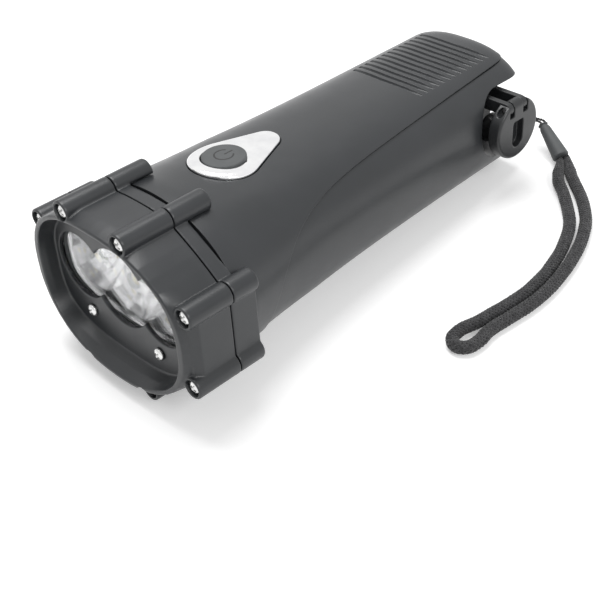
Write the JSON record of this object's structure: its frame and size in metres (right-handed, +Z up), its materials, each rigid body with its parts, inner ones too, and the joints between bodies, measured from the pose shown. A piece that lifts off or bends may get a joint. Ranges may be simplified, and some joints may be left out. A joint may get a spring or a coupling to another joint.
{
  "type": "hand crank flashlight",
  "caption": "Wide octagonal head on a tapered barrel with a chromed push switch, a folding crank in a round tail pocket that drives a generator, and a wrist strap",
  "frame": {"origin": "on the table, under the middle of the box round the flashlight without its strap", "axes": "+Y runs from the lamp head to the tail, +Z up, +X towards the crank; the flashlight lies at rest on its head and its tail, nose up by 5 degrees"},
  "size_m": [0.1084, 0.1693, 0.0581],
  "materials": {
    "black_abs": "satin moulded ABS",
    "bezel_abs": "satin moulded ABS",
    "rubber": "matt",
    "chrome": "polished plating",
    "screw_steel": "bright plated",
    "steel": "plain",
    "reflector_chrome": "vacuum metallised",
    "clear_lens": "clear polycarbonate",
    "led_epoxy": "clear epoxy",
    "board_green": "solder mask",
    "white_nylon": "moulded nylon",
    "battery_wrap": "shrink sleeve",
    "copper": "enamelled copper winding",
    "magnet_grey": "sintered ferrite",
    "cord_black": "knitted cord"
  },
  "bodies": {
    "torch_body": {"battery_cell_1": "battery_wrap", "battery_cell_2": "battery_wrap", "battery_cell_3": "battery_wrap", "battery_cradle": "white_nylon", "bezel_screw_1": "screw_steel", "bezel_screw_2": "screw_steel", "bezel_screw_3": "screw_steel", "bezel_screw_4": "screw_steel", "bezel_screw_5": "screw_steel", "bezel_screw_6": "screw_steel", "bezel_screw_7": "screw_steel", "bezel_screw_8": "screw_steel", "board_screw_1": "steel", "board_screw_2": "steel", "body_screw_front_left": "steel", "body_screw_front_right": "steel", "body_screw_rear_left": "steel", "body_screw_rear_right": "steel", "front_bezel": "bezel_abs", "gearbox_cover": "steel", "gearbox_plate": "steel", "gearbox_screw_1": "steel", "gearbox_screw_2": "steel", "gearbox_screw_3": "steel", "generator_can": "steel", "generator_coil": "copper", "head_collar": "bezel_abs", "lanyard_string": "cord_black", "led_board": "board_green", "led_centre": "led_epoxy", "led_left": "led_epoxy", "led_right": "led_epoxy", "lens": "clear_lens", "lens_gasket": "rubber", "lower_shell": "black_abs", "main_board": "board_green", "reflector": "reflector_chrome", "reflector_screw_left": "screw_steel", "reflector_screw_right": "screw_steel", "strap_ferrule": "rubber", "strap_loop": "cord_black", "switch_plate": "chrome", "tact_switch": "magnet_grey", "upper_shell": "black_abs"},
    "crank": {"crank_hub": "black_abs", "crank_fold_pin": "steel", "drive_gear": "white_nylon", "hub_retainer": "steel"},
    "crank_arm_body": {"crank_arm": "black_abs", "knob_screw": "steel"},
    "knob": {"crank_knob": "black_abs"},
    "idler_1": {"first_idler": "white_nylon"},
    "idler_2": {"second_idler": "white_nylon"},
    "rotor": {"rotor_shaft": "steel", "rotor_magnet": "magnet_grey"},
    "button": {"power_button": "rubber"},
    "plunger": {"tact_plunger": "white_nylon"}
  },
  "joints": [
    {"name": "crank_spin", "type": "hinge", "parent": "torch_body", "child": "crank", "pos_m": [0.0143, 0.06253, 0.0231], "axis": [1, 0, 0], "continuous": true},
    {"name": "crank_fold", "type": "hinge", "parent": "crank", "child": "crank_arm_body", "pos_m": [0.0293, 0.06318, 0.03047], "axis": [0, -0.9962, 0.0868], "range_deg": [0, 180]},
    {"name": "knob_spin", "type": "hinge", "parent": "crank_arm_body", "child": "knob", "pos_m": [0.0232, 0.06227, 0.02011], "axis": [1, 0, 0], "continuous": true},
    {"name": "idler_1_turn", "type": "hinge", "parent": "torch_body", "child": "idler_1", "pos_m": [0.0039, 0.04994, 0.02287], "axis": [1, 0, 0], "continuous": true},
    {"name": "idler_2_turn", "type": "hinge", "parent": "torch_body", "child": "idler_2", "pos_m": [0.0009, 0.03734, 0.02264], "axis": [1, 0, 0], "continuous": true},
    {"name": "rotor_turn", "type": "hinge", "parent": "torch_body", "child": "rotor", "pos_m": [-0.0021, 0.02594, 0.02244], "axis": [1, 0, 0], "continuous": true},
    {"name": "button_press", "type": "slide", "parent": "torch_body", "child": "button", "axis": [0, -0.0868, -0.9962], "range_m": [0, 0.0008], "stiffness_N_per_m": 800},
    {"name": "plunger_press", "type": "slide", "parent": "torch_body", "child": "plunger", "axis": [0, -0.0868, -0.9962], "range_m": [0, 0.0008]}
  ],
  "couplings": [
    {"joint": "idler_1_turn", "follows": "crank_spin", "ratio": -3.2},
    {"joint": "idler_2_turn", "follows": "crank_spin", "ratio": 10.24},
    {"joint": "rotor_turn", "follows": "crank_spin", "ratio": -28.672},
    {"joint": "plunger_press", "follows": "button_press", "ratio": 1}
  ]
}
